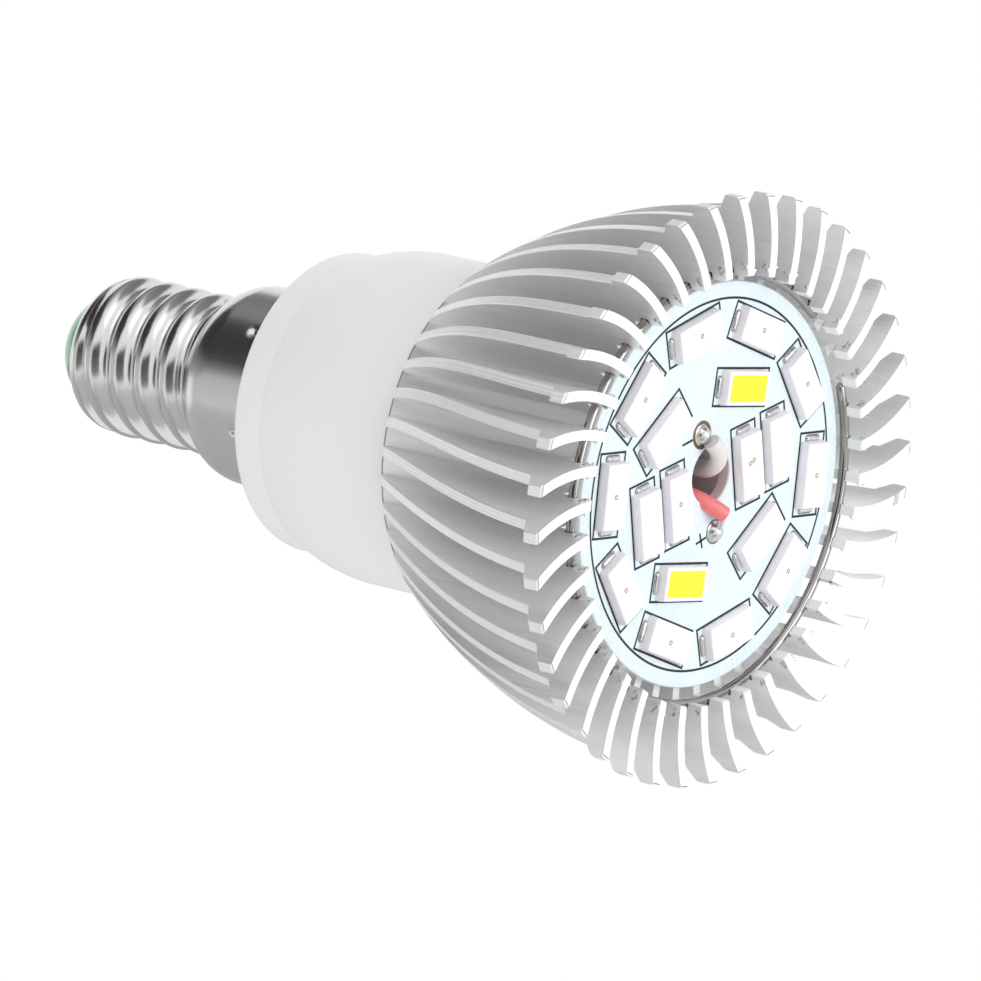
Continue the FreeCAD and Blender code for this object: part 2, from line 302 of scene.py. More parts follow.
def arc(a: Pair, b: Pair, radius: float, steps: int) -> Profile:
    """Points of an arc from a to b, the first left out.

    Args:
        a: Start of the arc.
        b: End of the arc.
        radius: Its radius; positive bulges to the left of the way from a to b.
        steps: Number of points.

    Returns:
        The points after a, up to b.
    """
    start, end = Vector(a), Vector(b)
    chord = end - start
    left = Vector((-chord.y, chord.x)).normalized()
    rise = math.sqrt(max(radius * radius - chord.length_squared / 4, 0.0))
    centre = (start + end) / 2 - left * math.copysign(rise, radius)
    first = math.atan2(start.y - centre.y, start.x - centre.x)
    last = math.atan2(end.y - centre.y, end.x - centre.x)
    turn = math.remainder(last - first, 2 * math.pi)
    size = abs(radius)
    return [(centre.x + size * math.cos(first + turn * i / steps),
             centre.y + size * math.sin(first + turn * i / steps)) for i in range(1, steps + 1)]


def polar(radius: float, degrees: float, z: float = 0.0) -> Point:
    """Point at a radius and bearing about the axis."""
    a = math.radians(degrees)
    return (radius * math.cos(a), radius * math.sin(a), z)


def circle(radius: float, steps: int, z: float, middle: Pair = (0.0, 0.0)) -> Ring:
    """Points of a level circle about a middle, clockwise seen from above."""
    ring = [polar(radius, -360 * i / steps) for i in range(steps)]
    return [(middle[0] + x, middle[1] + y, z) for x, y, _ in ring]


def place_object(name: str, data: bpy.types.ID) -> bpy.types.Object:
    """Put new data into the scene.

    Args:
        name: Name of the object.
        data: Its mesh, camera or lamp.

    Returns:
        The new object.
    """
    item = bpy.data.objects.new(name, data)
    bpy.context.scene.collection.objects.link(item)
    return item


class Piece:
    """A mesh gathered from strips, each with its own finish, and made into one object.

    A tube's first side is square to off_axis, a direction that no tube takes.
    """

    off_axis: Vector = Vector((0.31, 0.17, 0.93))

    def __init__(self, name: str) -> None:
        """Start an empty piece.

        Args:
            name: Name of the object.
        """
        self.name = name
        self.points: list[Point] = []
        self.faces: list[tuple[int, ...]] = []
        self.face_finish: list[int] = []
        self.finishes: dict[str, int] = {}

    def number_of(self, finish: str) -> int:
        """Number of a finish in this piece, added when new."""
        return self.finishes.setdefault(finish, len(self.finishes))

    def grid(self, rows: Sequence[Ring], finish: str, closed: bool = False) -> None:
        """Add a surface through rows of points.

        Args:
            rows: Rows with the same number of points.
            finish: Finish of the surface.
            closed: Whether each row ends where it starts.
        """
        base, width = len(self.points), len(rows[0])
        number = self.number_of(finish)
        for row in rows:
            self.points += row
        for j in range(len(rows) - 1):
            for i in range(width if closed else width - 1):
                k = (i + 1) % width
                a, b = base + j * width, base + (j + 1) * width
                self.faces.append((a + i, a + k, b + k, b + i))
                self.face_finish.append(number)

    def fan(self, ring: Ring, finish: str, flip: bool = False) -> None:
        """Close a ring of points with one face.

        Args:
            ring: Points of the face.
            finish: Finish of the face.
            flip: Whether it faces the other way.
        """
        base = len(self.points)
        self.points += ring
        order = range(base, base + len(ring))
        self.faces.append(tuple(reversed(order) if flip else order))
        self.face_finish.append(self.number_of(finish))

    def lathe(self, profile: Sequence[Pair], finish: str, steps: int = 160) -> None:
        """Add a surface of revolution; the outline runs so that its left is outside.

        Args:
            profile: Outline as (radius, z) points.
            finish: Finish of the surface.
            steps: Number of steps round the axis.
        """
        self.grid([circle(r, steps, z) for r, z in profile], finish, closed=True)

    def tube(self, path: Sequence[Vector], radii: Sequence[float], finish: str,
             sides: int = 20) -> None:
        """Add a round tube with closed ends along a path.

        Args:
            path: Points of the centre line.
            radii: Radius at each point.
            finish: Finish of the surface.
            sides: Number of sides.
        """
        rows: list[Ring] = []
        across = self.off_axis.cross(path[1] - path[0]).normalized()
        for i, (p, r) in enumerate(zip(path, radii)):
            along = (path[min(i + 1, len(path) - 1)] - path[max(i - 1, 0)]).normalized()
            across = (across - along * across.dot(along)).normalized()
            other = along.cross(across)
            rows.append([tuple(p + (across * math.cos(t) + other * math.sin(t)) * r)
                         for t in (2 * math.pi * k / sides for k in range(sides))])
        self.grid(rows, finish, closed=True)
        self.fan(rows[0], finish, flip=True)
        self.fan(rows[-1], finish)

    def moved(self, place: Matrix, other: "Piece") -> None:
        """Add another piece's surfaces.

        Args:
            place: Matrix that moves them.
            other: Piece that they come from.
        """
        base, names = len(self.points), list(other.finishes)
        self.points += [tuple(place @ Vector(p)) for p in other.points]
        self.faces += [tuple(base + i for i in f) for f in other.faces]
        self.face_finish += [self.number_of(names[k]) for k in other.face_finish]

    def make(self, *nodes: str, slot: str = "", sharp: float = 35.0) -> None:
        """Make the object, in metres, and attach it to the body.

        Args:
            nodes: CAD nodes that it stands for.
            slot: Material slot of the record; not used.
            sharp: Angle in degrees above which an edge stays crisp.
        """
        mesh = bpy.data.meshes.new(self.name)
        mesh.from_pydata([tuple(c * MM for c in p) for p in self.points], [], self.faces)
        for finish in self.finishes:
            mesh.materials.append(Finishes.get(finish))
        mesh.polygons.foreach_set("material_index", self.face_finish)
        mesh.polygons.foreach_set("use_smooth", [True] * len(self.faces))
        mesh.set_sharp_from_angle(angle=math.radians(sharp))
        mesh.update()
        piece = place_object(self.name, mesh)
        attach(piece, BODY)
        if nodes:
            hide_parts(*nodes)
        log.info("%s: %d faces", self.name, len(self.faces))


@dataclass
class HeatSink:
    """Finned extrusion turned to a bell; sizes in millimetres, z from the front rim."""

    lip_r: float = 25.0
    lip_h: float = 1.55
    step_r: float = 23.7
    step_z: float = 2.35
    bell_r: float = 46.0
    back_r: float = 16.0
    height: float = 24.5
    back_bevel: float = 0.5
    back_slant: float = 1.1
    edge_break: float = 0.15
    burr: float = 0.06
    land: Pairs = (
        (-1, 0.06), (-0.84, 0.0), (-0.45, 0.01), (-0.36, 0.035), (-0.24, 0.01), (0.12, 0.0),
        (0.26, 0.01), (0.36, 0.035), (0.46, 0.01), (0.84, 0.0), (1, 0.06))
    wear: Triple = (0.45, 0.4, 0.9)
    core_r: float = 15.4
    bore_r: float = 12.6
    hole_r: float = 3.1
    disc_z: float = 3.1
    disc_back_z: float = 7.3
    recess_r: float = 18.1
    entry_r: float = 18.22
    entry_h: float = 0.12
    groove_r: float = 18.68
    groove_z: Pair = (1.50, 2.34)
    # Length of the painted shade band at the back end of each channel.
    shade_band_l: float = 0.16
    fins: int = 40
    fin_t: float = 0.86
    fin_cuts: int = 9
    gap_cuts: int = 4
    crown_r: float = 16.7
    bend_r: float = 14.6
    phase: float = 6.2
    flakes: int = 8
    flake_inset: float = 0.3
    flake_step: float = 0.11
    flake_z: Pair = (0.06, 0.6)
    flake_size: Pair = (0.15, 0.16)
    flake_foot: Pairs = ((-1.0, 0.0), (0.8, 0.4), (0.1, 1.3))
    flake_root: float = 0.9
    flake_lift: float = 2.6
    flake_tip: Pair = (0.1, 0.02)
    flake_seeds: tuple[float, ...] = (1.7, 7.3, 3.7, 2.1)

    def outside(self) -> Profile:
        """Turned outline of the fins, from the front face to the back.

        Returns:
            The (radius, z) points.
        """
        e = self.edge_break
        bell_end = (self.back_r, self.height - self.back_bevel)
        return [(self.lip_r - e, 0), (self.lip_r, e), (self.lip_r, self.lip_h - e),
                (self.lip_r - e, self.lip_h), (self.step_r, self.step_z),
                *arc((self.step_r, self.step_z), bell_end, -self.bell_r, steps=26),
                (self.back_r - self.back_slant * self.back_bevel, self.height)]

    def inside(self) -> Profile:
        """Turned outline of the recess for the board, cut through the fins' front.

        Returns:
            The (radius, z) points.
        """
        g0, g1 = self.groove_z
        return [(self.entry_r, 0), (self.recess_r, self.entry_h), (self.recess_r, g0),
                (self.groove_r, g0), (self.groove_r, g1), (self.recess_r, g1),
                (self.recess_r, self.disc_z)]

    def flank(self, side: float, radius: float, turn: float, z: float) -> Point:
        """Point of a fin's flank.

        Args:
            side: -1 or 1 for its two flanks.
            radius: Distance from the axis.
            turn: Bearing of the fin in degrees.
            z: Height.

        Returns:
            The point.
        """
        bend = self.bend_r + side * self.fin_t / 2
        reach = math.hypot(self.crown_r, self.bend_r)
        along = (radius ** 2 - bend ** 2 + reach ** 2) / (2 * reach)
        lean = math.atan2(-self.bend_r, self.crown_r)
        return polar(radius, turn + math.degrees(lean + math.acos(along / radius)), z)

    def across(self, side: float, low: float, high: float, turn: float, z: float) -> Ring:
        """Points of a flank from one radius to another."""
        cuts = self.fin_cuts
        return [self.flank(side, low + (high - low) * k / cuts, turn, z) for k in range(cuts + 1)]

    @staticmethod
    def radius_at(outline: Profile, z: float) -> float:
        """Largest radius of an outline at a height."""
        return max(a[0] + (b[0] - a[0]) * ((z - a[1]) / (b[1] - a[1]) if b[1] != a[1] else 0)
                   for a, b in zip(outline, outline[1:]) if a[1] <= z <= b[1])

    def fin(self, piece: Piece, turn: float) -> None:
        """Add one fin: its flanks as drawn and its edges as turned.

        Args:
            piece: Piece to add to.
            turn: Bearing of the fin in degrees.
        """
        outer, inner = self.outside(), self.inside()
        front = sorted({z for _, z in outer + inner if z <= self.disc_z} | {self.disc_z})
        back = [self.disc_z] + [z for _, z in outer if z > self.disc_z]
        for levels, root in ((front, None), (back, self.core_r)):
            for side in (-1, 1):
                rows = [self.across(side, root or self.radius_at(inner, z),
                                    self.radius_at(outer, z) - self.burr, turn, z) for z in levels]
                piece.grid(rows if side > 0 else rows[::-1], "drawn_aluminium")
        mean, swing, beat = self.wear
        worn = mean + swing * math.sin(beat * turn)
        for finish, spots, depth in (("burred_edge", self.land[:2], 1.0),
                                     ("turned_aluminium", self.land[1:-1], worn),
                                     ("burred_edge", self.land[-2:], 1.0)):
            piece.grid([[self.flank(s, r - d * depth, turn, z) for s, d in spots]
                        for r, z in outer], finish)
        piece.grid([[self.flank(s, r, turn, z) for s in (-1, 0, 1)] for r, z in inner[::-1]],
                   "turned_aluminium")
        # The flat faces at the front, at the disc and at the back are real machined faces; their plain
        # white is painted glare.
        for z, low, high, order in ((0, inner[0][0], outer[0][0] - self.burr, (1, -1)),
                                    (self.disc_z, self.core_r, self.recess_r, (1, -1)),
                                    (self.height, self.core_r, outer[-1][0] - self.burr, (-1, 1))):
            piece.grid([self.across(s, low, high, turn, z) for s in order], "glare_faced_aluminium")

    def burrs(self, piece: Piece, turn: float) -> None:
        """Leave small flakes on a fin where the recess was cut through it.

        Args:
            piece: Piece to add to.
            turn: Bearing of the fin in degrees.
        """
        number, place, bulk, step = self.flake_seeds
        for k in range(round(self.flakes * scatter(number * turn))):
            side = (-1) ** k
            radius = self.entry_r + self.flake_inset + self.flake_step * k
            z = self.flake_z[0] + self.flake_z[1] * scatter(place * turn + step * k)
            size = self.flake_size[0] + self.flake_size[1] * scatter(bulk * turn + k)
            foot = [self.flank(side * self.flake_root, radius + size * d, turn, z + size * h)
                    for d, h in self.flake_foot]
            tip = self.flank(side * (1 + self.flake_lift * size), radius + self.flake_tip[0], turn,
                             max(z - size, self.flake_tip[1]))
            for a, b in ((0, 1), (1, 2), (2, 0)):
                piece.fan([foot[a], foot[b], tip], "tin", flip=side < 0)
            piece.fan(foot, "tin", flip=side > 0)

    def channel(self, piece: Piece, turn: float) -> None:
        """Add the bottom of the gap behind one fin.

        Args:
            piece: Piece to add to.
            turn: Bearing of the fin in degrees.
        """
        a = self.flank(1, self.core_r, turn, 0)
        b = self.flank(-1, self.core_r, turn + 360 / self.fins, 0)
        first, last = math.atan2(a[1], a[0]), math.atan2(b[1], b[0])
        sweep = math.degrees(math.remainder(last - first, 2 * math.pi))
        bearings = [math.degrees(first) + sweep * k / self.gap_cuts for k in range(self.gap_cuts + 1)]
        # The last strip of each channel bottom, at the sink's back edge, is painted shade for the
        # shadow between sink and neck.
        shade_band_start = self.height - self.shade_band_l
        for finish, levels in (("drawn_aluminium", (self.disc_z, shade_band_start)),
                               ("painted_shade_band", (shade_band_start, self.height))):
            piece.grid([[polar(self.core_r, d, z) for d in bearings] for z in levels], finish)

    def build(self) -> None:
        """Make the heat sink."""
        piece = Piece("heat_sink_turned")
        for i in range(self.fins):
            turn = self.phase + 360 / self.fins * i
            self.fin(piece, turn)
            self.burrs(piece, turn)
            self.channel(piece, turn)
        piece.lathe([(self.core_r, self.disc_z), (self.hole_r, self.disc_z),
                     (self.hole_r, self.disc_back_z), (self.bore_r, self.disc_back_z),
                     (self.bore_r, self.height), (self.core_r, self.height)], "turned_aluminium")
        piece.make("heat_sink", slot="sink_aluminium", sharp=25.0)


@dataclass
class SnapRing:
    """Open ring of round spring wire, seated in its groove."""

    wire_r: float = 0.4
    ring_r: float = 18.26
    z: float = 1.92
    start: float = 61.0
    sweep: float = 337.0
    steps: int = 180
    end_round: tuple[float, ...] = (0.35, 0.62, 0.85, 0.96)
    end_step: float = 0.15

    def build(self) -> None:
        """Make the ring with rounded ends."""
        shares = [i / self.steps for i in range(self.steps + 1)]
        radii = [self.wire_r] * len(shares)
        for k, part in enumerate(self.end_round):
            radii[k] = radii[-1 - k] = self.wire_r * part
            shares[k] = self.end_step * (k + 1) / self.steps
            shares[-1 - k] = 1 - shares[k]
        path = [Vector(polar(self.ring_r, self.start + self.sweep * s, self.z)) for s in shares]
        piece = Piece("snap_ring_wire")
        piece.tube(path, radii, "spring_wire", sides=24)
        piece.make("snap_ring", slot="spring_steel")


@dataclass
class LedPackage:
    """Surface-mounted LED: moulded body, filled window, chips and end contacts."""

    length: float = 5.7
    width: float = 3.0
    height: float = 0.9
    wall: Pairs = ((0.0, 0.0), (0.0, 0.27), (0.08, 0.84), (0.15, 0.9))
    frame: Pair = (0.34, 0.255)
    sink: float = 0.05
    sink_slope: float = 0.12
    corner: float = 0.16
    corner_steps: int = 3
    chip_layers: tuple[tuple[float, str, float], ...] = (
        (0.19, "chip_red", 0.012), (0.10, "package_white", 0.018))
    pad_l: float = 0.52
    pad_w: float = 1.8
    pad_lap: float = 0.04
    pad_round: float = 0.96
    pad_rise: Pairs = (
        (0.07, 0.004), (0.0, 0.02), (-0.03, 0.12), (-0.09, 0.20), (-0.17, 0.24))

    def outline(self, x: float, y: float, z: float, corner: float = 0.0) -> Ring:
        """Rounded rectangle at a height.

        Args:
            x: Half its length.
            y: Half its width.
            z: Height.
            corner: Radius of its corners, or 0 for the package's own.

        Returns:
            The ring of points.
        """
        c = corner or self.corner
        ring = []
        for sx, sy, first in ((1, 1, 0), (-1, 1, 90), (-1, -1, 180), (1, -1, 270)):
            for k in range(self.corner_steps + 1):
                a = math.radians(first + 90 * k / self.corner_steps)
                ring.append((sx * (x - c) + c * math.cos(a), sy * (y - c) + c * math.sin(a), z))
        return ring

    def body(self, fill: str, chips: Sequence[Pair]) -> Piece:
        """Mesh of the package with its face down, its foot at z = 0.

        Args:
            fill: Finish of the window.
            chips: Places of the chips that show through it, squares with a light centre.

        Returns:
            The gathered surfaces.
        """
        piece = Piece("package")
        x, y = self.length / 2, self.width / 2
        side = [self.outline(x - inset, y - inset, -drop)[::-1] for inset, drop in self.wall]
        wx, wy = x - self.frame[0], y - self.frame[1]
        window = self.outline(wx, wy, -self.height)[::-1]
        floor = self.outline(wx - self.sink_slope, wy - self.sink_slope,
                             self.sink - self.height)[::-1]
        # The side walls take the darker copy of the package white: painted shade on the sides.
        piece.grid(side, "package_side_shaded", closed=True)
        piece.grid([side[-1], window, floor], "package_white", closed=True)
        piece.fan(floor, fill)
        for cx, cy in chips:
            for half, finish, lift in self.chip_layers:
                piece.fan([(cx + sx * half, cy + sy * half, self.sink - self.height - lift)
                           for sx, sy in ((-1, -1), (-1, 1), (1, 1), (1, -1))], finish)
        return piece

    def terminals(self) -> Piece:
        """Low solder pads with rounded corners at both ends, each with its dark rim.

        Returns:
            The gathered surfaces.
        """
        piece = Piece("fillets")
        for end in (-1, 1):
            middle = end * (self.length / 2 + self.pad_l / 2 - self.pad_lap)
            rows = []
            for grow, drop in self.pad_rise:
                x, y = self.pad_l / 2 + grow, self.pad_w / 2 + grow
                ring = self.outline(x, y, -drop, min(x, y) * self.pad_round)
                rows.append([(middle + px, py, pz) for px, py, pz in ring][::-1])
            piece.grid(rows[:2], "pad_rim", closed=True)
            piece.grid(rows[1:], "tin", closed=True)
            piece.fan(rows[-1], "tin")
        return piece


@dataclass
class LedBoard:
    """Board in the recess with its print, its LEDs and their solder."""

    radius: float = 17.15
    hole_r: float = 2.45
    hole_at: Pair = (1.05, 0.15)
    face_z: float = 2.1
    thickness: float = 1.0
    edge_break: float = 0.08
    shift: Pair = (0.25, 0.18)
    steps: int = 200
    ring_count: int = 10
    ring_phase: float = 14.6
    ring_r: float = 13.45
    inner_half: tuple[Triple, ...] = (
        (4.9, 16.3, 90.0), (4.7, 68.9, -18.0), (8.7, 69.1, -18.0), (4.85, -59.1, 45.0))
    ring_chip: Pair = (0.0, -0.1)
    inner_chips: tuple[Triple, ...] = (
        (15, 0.45, 0.20), (15, 0.30, -0.27), (16, -0.30, 0.15))
    yellow: tuple[int, ...] = (11, 12)
    print_r: float = 15.73
    print_steps: int = 180
    print_lift: float = 0.012
    line: float = 0.20
    frame_half: Pair = (3.55, 1.6)
    sign_half: float = 0.69
    signs: tuple[Triple, ...] = ((-4.48, 0.03, 66), (-4.48, 0.03, 154), (3.79, -3.65, 70))
    package: LedPackage = field(default_factory=LedPackage)

    def places(self) -> list[Triple]:
        """List every LED: the outer ring, then the inner halves.

        Returns:
            Radius, bearing and lean of each.
        """
        found = []
        for i in range(self.ring_count):
            bearing = self.ring_phase + 360 / self.ring_count * i
            found.append((self.ring_r, bearing, bearing + 90))
        for setback, bearing, lean in self.inner_half:
            found += [(self.ring_r - setback, bearing + half, lean + half) for half in (0, 180)]
        return found

    def seat(self, place: Triple) -> Matrix:
        """Matrix that sets a package on the board at its radius, bearing and lean."""
        spot = Matrix.Translation((*self.shift, 0)) @ Matrix.Translation(polar(*place[:2], self.face_z))
        return spot @ Matrix.Rotation(math.radians(place[2]), 4, "Z")

    def disc(self) -> None:
        """Make the board with softly broken edges."""
        top, e = self.face_z, self.edge_break
        back = top + self.thickness
        hole = [circle(self.hole_r + grow, self.steps, z, self.hole_at)
                for grow, z in ((e, top), (0, top + e), (0, back))]
        rim = [circle(self.radius - inset, self.steps, z, self.shift)
               for inset, z in ((e, top), (0, top + e), (0, back))]
        piece = Piece("led_board_disc")
        piece.grid([hole[0], rim[0], rim[1]], "solder_mask", closed=True)
        piece.grid([rim[1], rim[2], hole[2]], "turned_aluminium", closed=True)
        piece.grid([hole[2], hole[1], hole[0]], "hole_wall", closed=True)
        piece.make("led_board", slot="board_white")

    def stroke(self, place: Pair, half: Pair) -> Ring:
        """Both sides of a printed line at one of its points.

        Args:
            place: The point on the board.
            half: Way from there to the line's left side.

        Returns:
            The two points, a hair above the board.
        """
        z = self.face_z - self.print_lift
        return [(place[0] + s * half[0], place[1] + s * half[1], z) for s in (1, -1)]

    def loop(self, piece: Piece, path: Sequence[Pair]) -> None:
        """Add a printed line round a loop of points.

        Args:
            piece: Piece to add to.
            path: Points of the loop on the board.
        """
        rows = []
        for i, place in enumerate(path):
            before = (Vector(place) - Vector(path[i - 1])).normalized()
            after = (Vector(path[(i + 1) % len(path)]) - Vector(place)).normalized()
            along = (before + after).normalized()
            reach = self.line / 2 / along.dot(after)
            rows.append(self.stroke(place, (-along.y * reach, along.x * reach)))
        piece.grid([*rows, rows[0]], "print_ink")

    def print_lines(self) -> None:
        """Print the circle, the frames round the LEDs and the polarity marks."""
        piece = Piece("board_print")
        dx, dy = self.shift
        ring = [polar(self.print_r, 360 * i / self.print_steps) for i in range(self.print_steps)]
        self.loop(piece, [(dx + x, dy + y) for x, y, _ in ring])
        fx, fy = self.frame_half
        for seat in map(self.seat, self.places()):
            corners = ((-fx, -fy), (fx, -fy), (fx, fy), (-fx, fy))
            self.loop(piece, [tuple((seat @ Vector((*c, 0)))[:2]) for c in corners])
        for x, y, lean in self.signs:
            ex, ey, _ = polar(self.sign_half, lean)
            side = polar(self.line / 2, lean + 90)[:2]
            ends = ((x - ex, y - ey), (x + ex, y + ey))
            piece.grid([self.stroke(end, side) for end in ends], "print_ink")
        piece.make()

    def chips(self, number: int) -> list[Pair]:
        """Find the chips that show in one LED.

        Args:
            number: Number of the LED, from 1.

        Returns:
            Their places from the package's middle.
        """
        if number <= self.ring_count:
            return [self.ring_chip]
        return [(x, y) for led, x, y in self.inner_chips if led == number]

    def leds(self) -> None:
        """Make the LEDs, each for its own node."""
        for i, place in enumerate(self.places(), 1):
            fill = "phosphor_fill" if i in self.yellow else "clear_fill"
            piece = Piece(f"led_{i:02d}_package")
            piece.moved(self.seat(place), self.package.body(fill, self.chips(i)))
            piece.make(f"led_{i:02d}", slot="led_body")

    def fillets(self) -> None:
        """Make the solder at both ends of all LEDs."""
        piece = Piece("led_fillets")
        for place in self.places():
            piece.moved(self.seat(place), self.package.terminals())
        piece.make("led_terminals", slot="tin")

    def build(self) -> None:
        """Make the board and all that is printed and soldered on it."""
        self.disc()
        self.print_lines()
        self.leds()
        self.fillets()


@dataclass
class Lead:
    """Insulated lead from the hole to a solder joint of the board."""

    name: str
    node: str
    finish: str
    radius: float
    route: tuple[Point, ...]

    def build(self) -> None:
        """Make the lead as a tube along a smooth line."""
        curve = bpy.data.curves.new(self.name + "_line", "CURVE")
        curve.dimensions = "3D"
        curve.resolution_u = 10
        spline = curve.splines.new("NURBS")
        spline.points.add(len(self.route) - 1)
        for point, place in zip(spline.points, self.route):
            point.co = (*place, 1)
        spline.order_u = 4
        spline.use_endpoint_u = True
        holder = bpy.data.objects.new(self.name + "_line", curve)
        line = bpy.data.meshes.new_from_object(holder)
        path = [v.co.copy() for v in line.vertices]
        bpy.data.objects.remove(holder)
        bpy.data.meshes.remove(line)
        piece = Piece(self.name)
        piece.tube(path, [self.radius] * len(path), self.finish)
        piece.make(self.node, slot=self.finish)


@dataclass
class SolderJoint:
    """Domed joint on the board with the tip of the wire and its flux."""

    name: str
    node: str
    place: Pair
    flux: bool = False
    wire: Point | None = None
    wire_r: float = 0.3
    wire_depth: float = 0.4
    face_z: float = 2.1
    steps: int = 40
    dome: Pairs = (
        (0.01, -0.78), (0.16, -0.75), (0.3444, -0.68), (0.5904, -0.5), (0.7544, -0.26),
        (0.82, -0.06), (0.9184, 0.0))
    pad: Pairs = ((0.900032, -0.01), (1.01024, -0.03), (1.065344, -0.004))
    flux_ring: Pairs = ((0.9184, -0.02), (1.107, -0.05), (1.23, -0.005))

    def build(self) -> None:
        """Make the joint."""
        solder = Piece("solder")
        solder.lathe(self.pad, "pad_rim", self.steps)
        solder.lathe(self.dome, "tin", self.steps)
        if self.flux:
            solder.lathe(self.flux_ring, "flux", self.steps)
        piece = Piece(self.name)
        piece.moved(Matrix.Translation((*self.place, self.face_z)), solder)
        if self.wire:
            start, end = Vector(self.wire), Vector((*self.place, self.face_z - self.wire_depth))
            piece.tube([start, start.lerp(end, 0.5), end], [self.wire_r] * 3, "tin")
        piece.make(self.node, slot="tin")


@dataclass
class Neck:
    """Moulded neck between the sink and the screw cap."""

    body_r: float = 14.3
    foot_z: float = 24.5
    foot_bevel: float = 0.2
    shoulder_z: float = 34.5
    shoulder_arc: float = -16.0
    crease: Pair = (12.85, 40.0)
    crease_cut: float = 0.12
    crease_rise: float = 0.35
    collar_r: float = 12.9
    collar_z: float = 42.35
    collar_arc: float = -1.1
    top_z: float = 43.3
    top_r: float = 11.9
    boss_r: float = 8.35
    boss_z: float = 49.3
    spigot_r: float = 12.3
    spigot_z: float = 18.5
    wall: float = 1.6

    def build(self) -> None:
        """Make the housing."""
        shoulder = (self.body_r, self.shoulder_z)
        under = (self.crease[0] + self.crease_cut, self.crease[1] - self.crease_cut)
        edge = (self.collar_r, self.collar_z)
        cavity, bore = self.spigot_r - self.wall, self.boss_r - self.wall
        profile: Profile = [
            (cavity, self.spigot_z), (self.spigot_r, self.spigot_z), (self.spigot_r, self.foot_z),
            (self.body_r - self.foot_bevel, self.foot_z),
            (self.body_r, self.foot_z + self.foot_bevel), shoulder,
            *arc(shoulder, under, self.shoulder_arc, steps=12), self.crease,
            (self.collar_r, self.crease[1] + self.crease_rise), edge,
            *arc(edge, (self.top_r, self.top_z), self.collar_arc, steps=8),
            (self.boss_r, self.top_z), (self.boss_r, self.boss_z), (bore, self.boss_z),
            (bore, self.top_z - self.wall), (cavity, self.top_z - self.wall),
            (cavity, self.spigot_z)]
        piece = Piece("neck_moulding")
        piece.lathe(profile[::-1], "neck_plastic", steps=200)
        piece.make("neck_housing", slot="neck_white", sharp=50.0)


